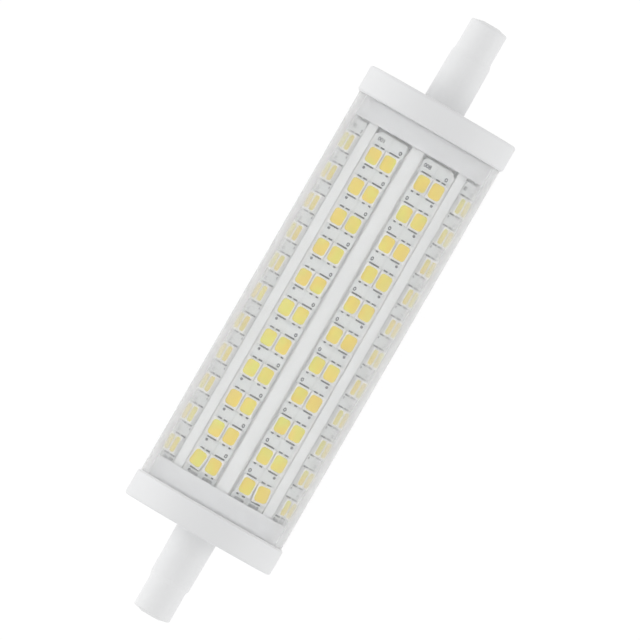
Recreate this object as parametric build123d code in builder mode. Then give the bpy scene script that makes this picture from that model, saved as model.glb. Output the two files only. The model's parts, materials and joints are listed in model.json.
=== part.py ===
from build123d import *
from math import cos, floor, radians, sin, sqrt
import os

# Double-ended LED lamp for a two-contact linear lampholder.
# The lamp's axis is X, its middle is the origin, and end a points along +X.
# A rib of the carrier faces +Z, with a board on each side of it.

os.makedirs("parts", exist_ok=True)

# Clear tube
tube_diameter = 28.0
tube_wall = 0.8
tube_length = 75.6

# End caps
spigot_length = 3.8
spigot_wall = 0.7
spigot_clearance = 0.05
flange_length = 4.95
flange_step = 0.45
flange_edge_radius = 0.5
flange_chamfer = 0.35
end_wall = 1.6
pin_root_diameter = 7.75
pin_base_diameter = 7.57
pin_tip_diameter = 7.0
pin_base_length = 9.25
pin_step_length = 0.9
pin_tip_length = 6.1
pin_wall = 1.3
pin_crown_height = 0.4
pin_crown_radius = 7.0
pin_edge_radius = 0.4
pin_root_fillet = 0.25

# End contacts, moulded into the pins behind a narrower recess
recess_diameter = 3.4
recess_depth = 1.8
contact_diameter = 4.2
contact_thickness = 0.5
contact_gap = 0.1
contact_clearance = 0.05
contact_edge_radius = 0.15
contact_dimple_diameter = 1.2
contact_dimple_depth = 0.2
tip_web = 2.0
stem_diameter = 1.5
stem_reach = 2.0
stem_bore_diameter = 0.8
stem_bore_depth = 2.5

# LEDs and their boards
board_count = 8
board_thickness = 1.0
board_margin = 0.15
board_clearance = 0.55
board_end_gap = 0.5
board_corner_radius = 0.8
led_length = 3.5
led_width = 2.8
led_height = 0.65
led_tube_gap = 0.5
window_length = 2.84
window_width = 2.4
window_depth = 0.25
phosphor_drop = 0.05
row_pitch = 6.02
column_pitch = 3.05
column_count = 2
row_end_room = 1.0
row_shift = -1.0
tab_width = 3.0
tab_reach = 0.3

# Carrier and link board
core_clearance = 0.1
core_wall = 1.3
solder_room = 0.75
link_thickness = 1.0
link_hole_diameter = 10.0
link_rim_clearance = 0.2
slot_clearance = 0.05
solder_size = 0.5

# Driver board
driver_thickness = 1.0
driver_height = -3.0
driver_edge_depth = 0.4
driver_end_gap = 0.5
driver_slot_clearance = 0.05
part_gap = 0.8
leg_diameter = 0.6
leg_length = 0.6
leg_run = 1.0
leg_bend_radius = 0.5
resistor_diameter = 2.6
resistor_length = 6.5
varistor_diameter = 7.0
varistor_thickness = 3.2
varistor_leg_spacing = 5.0
film_length = 7.0
film_width = 5.5
film_height = 8.0
film_leg_spacing = 5.0
film_edge_radius = 0.5
bulk_diameter = 8.0
bulk_length = 11.5
bulk_leg_spacing = 3.5
bulk_groove_width = 0.8
bulk_groove_depth = 0.3
bulk_groove_place = 1.8
bulk_edge_radius = 0.5
filter_inductor_diameter = 6.0
filter_inductor_height = 7.0
power_inductor_diameter = 8.0
power_inductor_height = 8.0
drum_rim = 1.2
drum_neck_share = 0.45
winding_inset = 0.3
winding_gap = 0.05

# Driver parts on the board's lower side, with the leads along each side of a flat part
lower_margin = 10.0
lower_gap = 3.0
bridge_length = 4.8
bridge_width = 3.9
bridge_height = 1.6
bridge_lead_pitch = 2.5
bridge_lead_count = 2
control_length = 4.9
control_width = 3.9
control_height = 1.5
control_lead_pitch = 1.27
control_lead_count = 4
diode_length = 2.7
diode_width = 4.3
diode_height = 2.2
diode_lead_count = 1
lead_width = 0.5
lead_reach = 0.9
lead_thickness = 0.2
chip_length = 1.6
chip_width = 0.8
chip_height = 0.55
chip_pitch = 3.5
chip_row_spacing = 8.0
chip_columns = 6
chip_rows = 2

# Wires
lead_wire_diameter = 1.1
lead_core_diameter = 0.7
lead_core_length = 2.0
lead_landing = 2.6
lead_slope = 4.0
lead_bend_radius = 5.0
wire_pad_room = 6.0
output_wire_diameter = 0.9
output_wire_spacing = 12.0
output_landing = 2.0
output_rise = 1.0
output_slope = 1.6
output_bend_radius = 1.0

# Sizes that follow from those above
tube_radius = tube_diameter / 2
tube_inner_radius = tube_radius - tube_wall
tube_end = tube_length / 2
spigot_radius = tube_inner_radius - spigot_clearance
cap_bore_radius = spigot_radius - spigot_wall
spigot_mouth = tube_end - spigot_length
flange_radius = tube_radius + flange_step
flange_end = tube_end + flange_length
cap_floor = flange_end - end_wall
pin_step_start = flange_end + pin_base_length
pin_step_end = pin_step_start + pin_step_length
pin_end = pin_step_end + pin_tip_length
pin_tip_radius = pin_tip_diameter / 2
pin_cavity_radius = pin_tip_radius - pin_wall
recess_floor = pin_end - recess_depth
contact_face = recess_floor - contact_gap
contact_seat = contact_face - contact_thickness
pin_cavity_end = contact_seat - tip_web
stem_end = pin_cavity_end - stem_reach
stem_radius = stem_diameter / 2
contact_radius = contact_diameter / 2
contact_pocket_radius = contact_radius + contact_clearance

led_reach = (column_pitch * (column_count - 1) + led_width) / 2
board_width = 2 * (led_reach + board_margin)
board_face = sqrt((tube_inner_radius - led_tube_gap) ** 2 - led_reach**2) - led_height
board_back = board_face - board_thickness
led_top = board_face + led_height
groove_width = board_width + 2 * board_clearance
board_turns = [(number + 0.5) * 360 / board_count for number in range(board_count)]
row_room = 2 * (spigot_mouth - abs(row_shift) - row_end_room) - led_length
row_count = floor(row_room / row_pitch) + 1

carrier_radius = cap_bore_radius - core_clearance
core_bore_radius = board_back - core_wall
carrier_high = cap_floor - core_clearance
link_face = -(cap_floor - solder_room)
carrier_low = link_face + link_thickness
carrier_length = carrier_high - carrier_low
groove_length = 2 * (row_shift - carrier_low)
board_high = spigot_mouth - board_end_gap
board_length = board_high - carrier_low
board_middle = (board_high + carrier_low) / 2
tab_length = link_thickness + tab_reach

driver_top = driver_height + driver_thickness / 2
driver_bottom = driver_height - driver_thickness / 2
driver_slot_half = sqrt(core_bore_radius**2 - driver_height**2) + driver_edge_depth
driver_slot_thickness = driver_thickness + 2 * driver_slot_clearance
driver_width = 2 * (driver_slot_half - driver_slot_clearance)
driver_low = carrier_low + driver_end_gap
driver_high = carrier_high - driver_end_gap
driver_middle = (driver_low + driver_high) / 2

# Places along the driver board, one part after another from end a
leg_radius = leg_diameter / 2
part_floor = driver_top + leg_length
resistor_high = driver_high - wire_pad_room - leg_run - leg_radius
resistor_low = resistor_high - resistor_length
varistor_high = resistor_low - leg_run - leg_radius - part_gap
varistor_low = varistor_high - varistor_thickness
film_high = varistor_low - part_gap
film_low = film_high - film_length
filter_inductor_high = film_low - part_gap
filter_inductor_low = filter_inductor_high - filter_inductor_diameter
bulk_high = filter_inductor_low - part_gap - leg_run - leg_radius
bulk_low = bulk_high - bulk_length
power_inductor_high = bulk_low - part_gap
power_inductor_low = power_inductor_high - power_inductor_diameter
bridge_x = driver_high - lower_margin - bridge_length / 2
chips_high = bridge_x - bridge_length / 2 - lower_gap
chips_span = (chip_columns - 1) * chip_pitch + chip_length
chips_x = chips_high - chips_span / 2
control_x = chips_high - chips_span - lower_gap - control_length / 2
diode_x = control_x - control_length / 2 - lower_gap - diode_length / 2


def facet(turn, distance, along=0.0):
    """Plane that faces outwards like the board at this turn, at a distance from the lamp's axis."""
    outward = (0, sin(radians(turn)), cos(radians(turn)))
    origin = (along, distance * outward[1], distance * outward[2])
    return Plane(origin=origin, x_dir=(1, 0, 0), z_dir=outward)


def level(height, along=0.0, across=0.0):
    """Horizontal plane at this height, centred at this place along and across the lamp."""
    return Plane(origin=(along, across, height))


def bent_leg(start_x, side, across, height):
    """Add a leg that leaves an end face along the lamp and bends down to the driver board."""
    corner_x = start_x + side * leg_run
    with BuildLine() as route:
        FilletPolyline(
            (start_x, across, height),
            (corner_x, across, height),
            (corner_x, across, driver_top),
            radius=leg_bend_radius,
        )
    with BuildSketch(Plane(origin=route.line @ 0, z_dir=route.line % 0)) as section:
        Circle(leg_radius)
    sweep(section.sketch, path=route.line)


# Clear tube
with BuildPart() as clear_tube:
    with BuildSketch(Plane.YZ.offset(-tube_end)):
        Circle(tube_radius)
        Circle(tube_inner_radius, mode=Mode.SUBTRACT)
    extrude(amount=tube_length)
clear_tube.part.label = "clear_tube"
export_step(clear_tube.part, "parts/clear_tube.step")

# End caps: spigot, flange and pin turned as one profile, with the outside first and then the inside
with BuildPart() as end_cap_a:
    with BuildSketch(Plane.XZ) as cap_profile:
        with BuildLine():
            Polyline(
                (spigot_mouth, cap_bore_radius),
                (spigot_mouth, spigot_radius),
                (tube_end, spigot_radius),
                (tube_end, flange_radius - flange_chamfer),
                (tube_end + flange_chamfer, flange_radius),
                (flange_end, flange_radius),
                (flange_end, pin_root_diameter / 2),
                (pin_step_start, pin_base_diameter / 2),
                (pin_step_end, pin_tip_radius),
                (pin_end - pin_crown_height, pin_tip_radius),
            )
            RadiusArc(
                (pin_end - pin_crown_height, pin_tip_radius),
                (pin_end, recess_diameter / 2),
                radius=-pin_crown_radius,
            )
            Polyline(
                (pin_end, recess_diameter / 2),
                (recess_floor, recess_diameter / 2),
                (recess_floor, contact_pocket_radius),
                (contact_seat, contact_pocket_radius),
                (contact_seat, stem_radius),
                (pin_cavity_end, stem_radius),
                (pin_cavity_end, pin_cavity_radius),
                (cap_floor, pin_cavity_radius),
                (cap_floor, cap_bore_radius),
                (spigot_mouth, cap_bore_radius),
            )
        make_face()
        flange_corner = cap_profile.vertices().sort_by_distance((flange_end, flange_radius))[0]
        fillet(flange_corner, radius=flange_edge_radius)
        root_corner = cap_profile.vertices().sort_by_distance((flange_end, pin_root_diameter / 2))[0]
        fillet(root_corner, radius=pin_root_fillet)
        tip_corner = (pin_end - pin_crown_height, pin_tip_radius)
        fillet(cap_profile.vertices().sort_by_distance(tip_corner)[0], radius=pin_edge_radius)
    revolve(axis=Axis.X)
end_cap_a.part.label = "end_cap_a"
export_step(end_cap_a.part, "parts/end_cap_a.step")

with BuildPart() as end_cap_b:
    mirror(end_cap_a.part, about=Plane.YZ)
end_cap_b.part.label = "end_cap_b"
export_step(end_cap_b.part, "parts/end_cap_b.step")

# End contacts: a disc with a small dimple, on a hollow stem that takes the lead wire
with BuildPart() as end_contact_a:
    with BuildSketch(Plane.YZ.offset(contact_seat)):
        Circle(contact_radius)
    extrude(amount=contact_thickness)
    fillet(end_contact_a.edges().sort_by(Axis.X)[-1], radius=contact_edge_radius)
    with BuildSketch(Plane.YZ.offset(contact_face)):
        Circle(contact_dimple_diameter / 2)
    extrude(amount=-contact_dimple_depth, mode=Mode.SUBTRACT)
    with BuildSketch(Plane.YZ.offset(contact_seat)):
        Circle(stem_radius - contact_clearance)
    extrude(amount=stem_end - contact_seat)
    with BuildSketch(Plane.YZ.offset(stem_end)):
        Circle(stem_bore_diameter / 2)
    extrude(amount=stem_bore_depth, mode=Mode.SUBTRACT)
end_contact_a.part.label = "end_contact_a"
export_step(end_contact_a.part, "parts/end_contact_a.step")

with BuildPart() as end_contact_b:
    mirror(end_contact_a.part, about=Plane.YZ)
end_contact_b.part.label = "end_contact_b"
export_step(end_contact_b.part, "parts/end_contact_b.step")

# Carrier: a round moulding with a flat-bottomed groove for each board, open at end b
with BuildPart() as led_carrier:
    with BuildSketch(Plane.YZ.offset(carrier_low)):
        Circle(carrier_radius)
        Circle(core_bore_radius, mode=Mode.SUBTRACT)
    extrude(amount=carrier_length)
    for turn in board_turns:
        with BuildSketch(facet(turn, board_back, row_shift)):
            Rectangle(groove_length, groove_width)
        extrude(amount=carrier_radius, mode=Mode.SUBTRACT)
    with BuildSketch(Plane.YZ.offset(carrier_low)):
        with Locations((0, driver_height)):
            Rectangle(2 * driver_slot_half, driver_slot_thickness)
    extrude(amount=carrier_length, mode=Mode.SUBTRACT)
led_carrier.part.label = "led_carrier"
export_step(led_carrier.part, "parts/led_carrier.step")

# LED boards: each has a tab at end b that passes through the link board, and round corners short of cap a
for number, turn in enumerate(board_turns, start=1):
    with BuildPart() as led_board:
        with BuildSketch(facet(turn, board_back, board_middle)) as board_outline:
            Rectangle(board_length, board_width)
            with Locations((-board_length / 2, 0)):
                Rectangle(2 * tab_length, tab_width)
            fillet(board_outline.vertices().sort_by(Axis.X)[-2:], board_corner_radius)
        extrude(amount=board_thickness)
    led_board.part.label = f"led_board_{number}"
    export_step(led_board.part, f"parts/led_board_{number}.step")

# LED packages: white cases with a shallow window, and the phosphor that fills each window
window_floor = led_top - window_depth
for number, turn in enumerate(board_turns, start=1):
    with BuildPart() as led_cases:
        with BuildSketch(facet(turn, board_face, row_shift)):
            with GridLocations(row_pitch, column_pitch, row_count, column_count):
                Rectangle(led_length, led_width)
        extrude(amount=led_height)
        with BuildSketch(facet(turn, window_floor, row_shift)):
            with GridLocations(row_pitch, column_pitch, row_count, column_count):
                Rectangle(window_length, window_width)
        extrude(amount=window_depth, mode=Mode.SUBTRACT)
    led_cases.part.label = f"led_cases_{number}"
    export_step(led_cases.part, f"parts/led_cases_{number}.step")

    with BuildPart() as phosphor:
        with BuildSketch(facet(turn, window_floor, row_shift)):
            with GridLocations(row_pitch, column_pitch, row_count, column_count):
                Rectangle(window_length, window_width)
        extrude(amount=window_depth - phosphor_drop)
    phosphor.part.label = f"phosphor_{number}"
    export_step(phosphor.part, f"parts/phosphor_{number}.step")

# Link board: a ring on the carrier's end, with a slot for each board's tab
link_radius = cap_bore_radius - link_rim_clearance
with BuildPart() as link_board:
    with BuildSketch(Plane.YZ.offset(link_face)):
        Circle(link_radius)
        Circle(link_hole_diameter / 2, mode=Mode.SUBTRACT)
    extrude(amount=link_thickness)
    for turn in board_turns:
        with BuildSketch(facet(turn, board_back - slot_clearance, carrier_low)):
            Rectangle(2 * tab_length, tab_width + 2 * slot_clearance)
        extrude(amount=board_thickness + 2 * slot_clearance, mode=Mode.SUBTRACT)
link_board.part.label = "link_board"
export_step(link_board.part, "parts/link_board.step")

# Solder: a small wedge between each tab's inner side and the link board's outer face
with BuildPart() as solder_joints:
    for turn in board_turns:
        across_tab = facet(turn, 0, link_face)
        side = Plane(origin=across_tab.origin, x_dir=across_tab.z_dir, z_dir=across_tab.y_dir)
        with BuildSketch(side):
            with BuildLine():
                Polyline(
                    (board_back, 0),
                    (board_back - solder_size, 0),
                    (board_back, -tab_reach),
                    close=True,
                )
            make_face()
        extrude(amount=tab_width / 2, both=True)
solder_joints.part.label = "solder_joints"
export_step(solder_joints.part, "parts/solder_joints.step")

# Driver board, held by its long edges in the carrier's slots
with BuildPart() as driver_board:
    with BuildSketch(level(driver_bottom, driver_middle)):
        Rectangle(driver_high - driver_low, driver_width)
    extrude(amount=driver_thickness)
driver_board.part.label = "driver_board"
export_step(driver_board.part, "parts/driver_board.step")

# Fusible resistor: a short rod with a lead from each end
resistor_height = part_floor + resistor_diameter / 2
with BuildPart() as fusible_resistor:
    with BuildSketch(Plane.YZ.offset(resistor_low)):
        with Locations((0, resistor_height)):
            Circle(resistor_diameter / 2)
    extrude(amount=resistor_length)
    bent_leg(resistor_low, -1, 0, resistor_height)
    bent_leg(resistor_high, 1, 0, resistor_height)
fusible_resistor.part.label = "fusible_resistor"
export_step(fusible_resistor.part, "parts/fusible_resistor.step")

# Varistor: a disc that stands across the board on two legs
varistor_height = part_floor + varistor_diameter / 2
with BuildPart() as varistor:
    with BuildSketch(Plane.YZ.offset(varistor_low)):
        with Locations((0, varistor_height)):
            Circle(varistor_diameter / 2)
    extrude(amount=varistor_thickness)
    with BuildSketch(level(driver_top, (varistor_low + varistor_high) / 2)):
        with GridLocations(0, varistor_leg_spacing, 1, 2):
            Circle(leg_radius)
    extrude(amount=varistor_height - driver_top)
varistor.part.label = "varistor"
export_step(varistor.part, "parts/varistor.step")

# Film capacitor: a box with rounded upright edges on two legs
film_middle = (film_low + film_high) / 2
with BuildPart() as film_capacitor:
    with BuildSketch(level(part_floor, film_middle)):
        RectangleRounded(film_length, film_width, film_edge_radius)
    extrude(amount=film_height)
    with BuildSketch(level(driver_top, film_middle)):
        with GridLocations(film_leg_spacing, 0, 2, 1):
            Circle(leg_radius)
    extrude(amount=leg_length)
film_capacitor.part.label = "film_capacitor"
export_step(film_capacitor.part, "parts/film_capacitor.step")

# Bulk capacitor: a can lying along the board, with a crimp groove near the end that has the legs
bulk_radius = bulk_diameter / 2
bulk_height = part_floor + bulk_radius
groove_x = bulk_high - bulk_groove_place
with BuildPart() as bulk_capacitor:
    with BuildSketch(Plane.YZ.offset(bulk_low)):
        with Locations((0, bulk_height)):
            Circle(bulk_radius)
    extrude(amount=bulk_length)
    fillet(bulk_capacitor.edges().filter_by(GeomType.CIRCLE), radius=bulk_edge_radius)
    with BuildSketch(Plane.YZ.offset(groove_x - bulk_groove_width / 2)):
        with Locations((0, bulk_height)):
            Circle(bulk_radius)
            Circle(bulk_radius - bulk_groove_depth, mode=Mode.SUBTRACT)
    extrude(amount=bulk_groove_width, mode=Mode.SUBTRACT)
    for side in (-1, 1):
        bent_leg(bulk_high, 1, side * bulk_leg_spacing / 2, bulk_height)
bulk_capacitor.part.label = "bulk_capacitor"
export_step(bulk_capacitor.part, "parts/bulk_capacitor.step")

# Inductors: each is a ferrite drum on two legs, with a ring of winding around its neck
inductors = (
    ("filter_inductor", filter_inductor_low, filter_inductor_diameter, filter_inductor_height),
    ("power_inductor", power_inductor_low, power_inductor_diameter, power_inductor_height),
)
for name, low, diameter, height in inductors:
    middle = low + diameter / 2
    neck_radius = diameter * drum_neck_share / 2
    with BuildPart() as drum_core:
        with BuildSketch(level(part_floor, middle), level(part_floor + height - drum_rim, middle)):
            Circle(diameter / 2)
        extrude(amount=drum_rim)
        with BuildSketch(level(part_floor, middle)):
            Circle(neck_radius)
        extrude(amount=height)
        with BuildSketch(level(driver_top, middle)):
            with GridLocations(diameter / 2, 0, 2, 1):
                Circle(leg_radius)
        extrude(amount=leg_length)
    drum_core.part.label = f"{name}_core"
    export_step(drum_core.part, f"parts/{name}_core.step")

    with BuildPart() as winding:
        with BuildSketch(level(part_floor + drum_rim + winding_gap, middle)):
            Circle(diameter / 2 - winding_inset)
            Circle(neck_radius + winding_gap, mode=Mode.SUBTRACT)
        extrude(amount=height - 2 * drum_rim - 2 * winding_gap)
    winding.part.label = f"{name}_winding"
    export_step(winding.part, f"parts/{name}_winding.step")

# Flat parts on the driver board's lower side: a body with a row of bent leads along each side
bridge_body = (bridge_x, bridge_length, bridge_width, bridge_height)
control_body = (control_x, control_length, control_width, control_height)
diode_body = (diode_x, diode_length, diode_width, diode_height)
flat_parts = (
    ("bridge_rectifier", bridge_body, bridge_lead_pitch, bridge_lead_count),
    ("control_chip", control_body, control_lead_pitch, control_lead_count),
    ("fast_diode", diode_body, 0, diode_lead_count),
)
for name, body, pitch, count in flat_parts:
    place, length, width, height = body
    foot_centre = (width + lead_reach) / 2
    riser_centre = (width + lead_thickness) / 2
    with BuildPart() as flat_part:
        with BuildSketch(level(driver_bottom - lead_thickness, place)):
            Rectangle(length, width)
        extrude(amount=-height)
        with BuildSketch(level(driver_bottom, place)):
            with GridLocations(pitch, 2 * foot_centre, count, 2):
                Rectangle(lead_width, lead_reach)
        extrude(amount=-lead_thickness)
        with BuildSketch(level(driver_bottom, place)):
            with GridLocations(pitch, 2 * riser_centre, count, 2):
                Rectangle(lead_width, lead_thickness)
        extrude(amount=-height / 2)
    flat_part.part.label = name
    export_step(flat_part.part, f"parts/{name}.step")

# Small chip resistors and capacitors in rows
with BuildPart() as chip_parts:
    with BuildSketch(level(driver_bottom, chips_x)):
        with GridLocations(chip_pitch, chip_row_spacing, chip_columns, chip_rows):
            Rectangle(chip_length, chip_width)
    extrude(amount=-chip_height)
chip_parts.part.label = "chip_parts"
export_step(chip_parts.part, "parts/chip_parts.step")

# Lead wires: the bare core sits in the contact's stem, and the cover runs down to the driver board
lead_radius = lead_wire_diameter / 2
lead_rest = driver_top + lead_radius
lead_ends = (("lead_wire_a", 1, driver_high), ("lead_wire_b", -1, -driver_low))
for name, side, board_end in lead_ends:
    landing_x = board_end - wire_pad_room + lead_radius
    with BuildPart() as lead_wire:
        with BuildLine():
            route = FilletPolyline(
                (side * stem_end, 0, 0),
                (side * (landing_x + lead_landing + lead_slope), 0, 0),
                (side * (landing_x + lead_landing), 0, lead_rest),
                (side * landing_x, 0, lead_rest),
                radius=lead_bend_radius,
            )
        with BuildSketch(Plane(origin=route @ 0, z_dir=route % 0)):
            Circle(lead_radius)
        sweep()
        with BuildSketch(Plane.YZ.offset(side * stem_end)):
            Circle(lead_core_diameter / 2)
        extrude(amount=side * lead_core_length)
    lead_wire.part.label = name
    export_step(lead_wire.part, f"parts/{name}.step")

# Output wires, from the driver board's end b to the link board's inner face
output_radius = output_wire_diameter / 2
output_rest = driver_top + output_radius
output_top = output_rest + output_rise
slope_end = driver_low + output_slope
with BuildPart() as output_wires:
    for side in (-1, 1):
        across = side * output_wire_spacing / 2
        with BuildLine():
            route = FilletPolyline(
                (slope_end + output_slope + output_landing, across, output_rest),
                (slope_end + output_slope, across, output_rest),
                (slope_end, across, output_top),
                (carrier_low, across, output_top),
                radius=output_bend_radius,
            )
        with BuildSketch(Plane(origin=route @ 0, z_dir=route % 0)):
            Circle(output_radius)
        sweep()
output_wires.part.label = "output_wires"
export_step(output_wires.part, "parts/output_wires.step")
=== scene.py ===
# %% [markdown]
# # A double-ended LED lamp in a clear tube
# The lamp is 118 mm long. Two white end caps close a clear plastic tube 28 mm across. Inside it, eight narrow
# circuit boards stand round a white carrier, and each board holds eleven rows of two yellow LEDs.
# The CAD model gives every piece its place and size. This lesson gives it its looks: some CAD pieces stay and
# only get a finish, and the small ones that the eye rests on, the LEDs, are modelled again with more detail.

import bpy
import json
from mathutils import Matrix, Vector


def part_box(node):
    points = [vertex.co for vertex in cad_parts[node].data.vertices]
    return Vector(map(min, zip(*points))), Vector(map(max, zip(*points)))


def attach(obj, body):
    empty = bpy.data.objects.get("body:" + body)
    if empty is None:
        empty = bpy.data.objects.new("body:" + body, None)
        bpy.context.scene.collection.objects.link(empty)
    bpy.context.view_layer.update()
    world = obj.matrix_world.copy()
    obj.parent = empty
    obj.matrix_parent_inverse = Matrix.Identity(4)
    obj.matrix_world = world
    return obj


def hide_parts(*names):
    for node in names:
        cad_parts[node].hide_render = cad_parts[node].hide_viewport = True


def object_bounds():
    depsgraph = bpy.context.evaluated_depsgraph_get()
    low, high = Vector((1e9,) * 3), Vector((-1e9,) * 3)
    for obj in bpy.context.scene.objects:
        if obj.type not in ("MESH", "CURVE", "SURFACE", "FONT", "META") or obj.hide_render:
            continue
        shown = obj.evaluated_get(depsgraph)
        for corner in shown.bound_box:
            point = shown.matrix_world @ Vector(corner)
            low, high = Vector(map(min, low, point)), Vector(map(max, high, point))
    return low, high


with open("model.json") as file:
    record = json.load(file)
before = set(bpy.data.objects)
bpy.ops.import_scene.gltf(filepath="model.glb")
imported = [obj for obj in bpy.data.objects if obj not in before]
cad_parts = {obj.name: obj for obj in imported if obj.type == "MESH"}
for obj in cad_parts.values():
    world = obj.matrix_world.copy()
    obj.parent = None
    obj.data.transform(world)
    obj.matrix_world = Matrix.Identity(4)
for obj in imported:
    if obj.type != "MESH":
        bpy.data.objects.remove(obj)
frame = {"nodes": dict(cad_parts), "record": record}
cad_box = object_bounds()
nodes = frame["nodes"]
print("nodes:", len(nodes), "CAD box:", [round(v, 5) for corner in cad_box for v in corner])

# %% [markdown]
# Blender works in metres, and the lamp's drawing is in millimetres, so every size below is written in
# millimetres and multiplied by `MM`. The lamp's axis is X, end a points along +X, and +Z looks at the camera.
# These few sizes are the ones that the new pieces share with the CAD model.

# %% Sizes shared with the CAD model
import json
import math

import bmesh
import bpy
from mathutils import Matrix, Vector

MM = 0.001
BOARD_COUNT = 8
BOARD_FACE = 11.709 * MM
BOARD_WIDTH = 6.15 * MM
ROW_COUNT = 11
ROW_PITCH = 6.02 * MM
COLUMN_PITCH = 3.05 * MM
ROW_SHIFT = -1.0 * MM
LED_LENGTH = 3.5 * MM
LED_HEIGHT = 0.65 * MM
WINDOW_LENGTH = 2.84 * MM
WINDOW_WIDTH = 2.4 * MM
WINDOW_DEPTH = 0.25 * MM
TURN_STEP = 2 * math.pi / BOARD_COUNT
FIRST_ROW = ROW_SHIFT + ROW_PITCH * (ROW_COUNT - 1) / 2
low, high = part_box("led_cases_1")
print("first row of LEDs, from the drawing and from the CAD box, in mm:")
print(round((FIRST_ROW + LED_LENGTH / 2) / MM, 3), round(high.x / MM, 3))

# %% [markdown]
# ## The camera
# The photograph was taken from straight above with a long lens, so the lamp shows almost no perspective. It
# lies in the picture with end a at the upper right, turned 30 degrees from upright. A very long lens at 3 m
# gives that view, and its frame is 110.8 mm wide at the lamp's axis. The lamp's X axis has to point up and to
# the right, so the camera is turned by minus 60 degrees about the line that it looks along. It stands a tenth
# of a millimetre beside the lamp's middle, because the lamp isn't quite in the middle of the photograph.

# %% Camera
CAMERA_HEIGHT = 3
CAMERA_OFFSET = (0.01 * MM, 0.09 * MM)
CAMERA_TURN = math.radians(-60)
FRAME_WIDTH = 110.8 * MM
camera_data = bpy.data.cameras.new("camera")
camera_data.lens = camera_data.sensor_width * CAMERA_HEIGHT / FRAME_WIDTH
camera = bpy.data.objects.new("camera", camera_data)
camera.location = (*CAMERA_OFFSET, CAMERA_HEIGHT)
camera.rotation_euler = (0, 0, CAMERA_TURN)
bpy.context.scene.collection.objects.link(camera)
bpy.context.scene.camera = camera
bpy.context.scene.view_settings.view_transform = "Standard"
print("lens in mm:", round(camera_data.lens, 1))

# %% [markdown]
# ## Nodes in a few words
# Materials are trees of nodes. Two small helpers keep them short: `link_or_set` gives a socket either a link
# or a plain value, and `add_math` adds a Math node and returns its result.

# %% Helpers for node trees
def link_or_set(tree, socket, value):
    """Feed a socket from another socket, or give it a plain value."""
    if isinstance(value, bpy.types.NodeSocket):
        tree.links.new(value, socket)
    else:
        socket.default_value = value


def add_math(tree, operation, *values):
    """Add a Math node and return the socket that holds its result."""
    node = tree.nodes.new("ShaderNodeMath")
    node.operation = operation
    for socket, value in zip(node.inputs, values):
        link_or_set(tree, socket, value)
    return node.outputs[0]


def add_mix(tree, factor, first, second):
    """Add a colour mix and return the socket that holds its result."""
    node = tree.nodes.new("ShaderNodeMix")
    node.data_type = "RGBA"
    for socket, value in zip((node.inputs[0], node.inputs[6], node.inputs[7]), (factor, first, second)):
        link_or_set(tree, socket, value)
    return node.outputs[2]


print("helpers ready: link_or_set, add_math, add_mix")

# %% [markdown]
# ## Floor, world and lamps
# The photograph has a pure white ground with hardly any shadow. A white that clips would come from too much
# light on the object too, so the light stays plain, and only the rays that come straight from the camera, or
# that a glossy or clear surface sends on, are shown a white of strength 1. The boards behind the tube get their
# light as rays that the tube sends on. The tube keeps some of it back, and it bends the lamps' light away, so
# the world is about twice as bright for rays that have left a dull surface and then passed the tube. That level
# is fitted: with it, the inside comes out as bright beside the caps as it is in the photograph.

# %% What a camera ray sees
def seen_directly(tree):
    """Return a socket that is 1 for camera, glossy and transmission rays, and 0 for the others."""
    path = tree.nodes.new("ShaderNodeLightPath")
    straight = path.outputs["Is Camera Ray"]
    for name in ("Is Glossy Ray", "Is Transmission Ray"):
        straight = add_math(tree, "MAXIMUM", straight, path.outputs[name])
    return straight


world = bpy.data.worlds.new("studio")
world.use_nodes = True
sky = world.node_tree
WORLD_LEVEL = 0.8
INSIDE_LEVEL = 2.15
strength = add_math(sky, "MULTIPLY_ADD", seen_directly(sky), 1 - WORLD_LEVEL, WORLD_LEVEL)
path = sky.nodes.new("ShaderNodeLightPath")
has_bounced = add_math(sky, "GREATER_THAN", path.outputs["Diffuse Depth"], 0.5)
from_inside = add_math(sky, "MULTIPLY", has_bounced, path.outputs["Is Transmission Ray"])
strength = add_math(sky, "MULTIPLY_ADD", from_inside, INSIDE_LEVEL - 1, strength)
sky.nodes["Background"].inputs["Color"].default_value = (1, 1, 1, 1)
sky.links.new(strength, sky.nodes["Background"].inputs["Strength"])
bpy.context.scene.world = world
print("world level for dull surfaces:", WORLD_LEVEL, "and behind the tube:", INSIDE_LEVEL)

# %% [markdown]
# The floor is a plane under the flanges. Its material mixes a matt white with a plain white light for the
# direct rays. The matt part still takes the lamp's soft shadow, as pale as it is in the photograph, and because
# it is a little darker than white, the light is a little stronger than 1, and the two come to white together.

# %% Floor
FLOOR_SIZE = 6
FLOOR_WHITE = 0.9
SHADOW_SHARE = 0.1
WHITE_STRENGTH = 1.05
bpy.ops.object.select_all(action="DESELECT")
bpy.ops.mesh.primitive_plane_add(size=FLOOR_SIZE, location=(0, 0, cad_box[0].z))
floor = bpy.context.object
floor.name = "floor"
floor_paint = bpy.data.materials.new("floor_paint")
floor_paint.use_nodes = True
paint = floor_paint.node_tree
matt = paint.nodes["Principled BSDF"]
matt.inputs["Base Color"].default_value = (FLOOR_WHITE, FLOOR_WHITE, FLOOR_WHITE, 1)
matt.inputs["Roughness"].default_value = 1
matt.inputs["Specular IOR Level"].default_value = 0
white = paint.nodes.new("ShaderNodeEmission")
white.inputs["Strength"].default_value = WHITE_STRENGTH
blend = paint.nodes.new("ShaderNodeMixShader")
share = add_math(paint, "MULTIPLY", seen_directly(paint), 1 - SHADOW_SHARE)
paint.links.new(share, blend.inputs[0])
paint.links.new(matt.outputs[0], blend.inputs[1])
paint.links.new(white.outputs[0], blend.inputs[2])
paint.links.new(blend.outputs[0], paint.nodes["Material Output"].inputs["Surface"])
floor.data.materials.append(floor_paint)
print("floor at z in mm:", round(cad_box[0].z / MM, 2))

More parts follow.
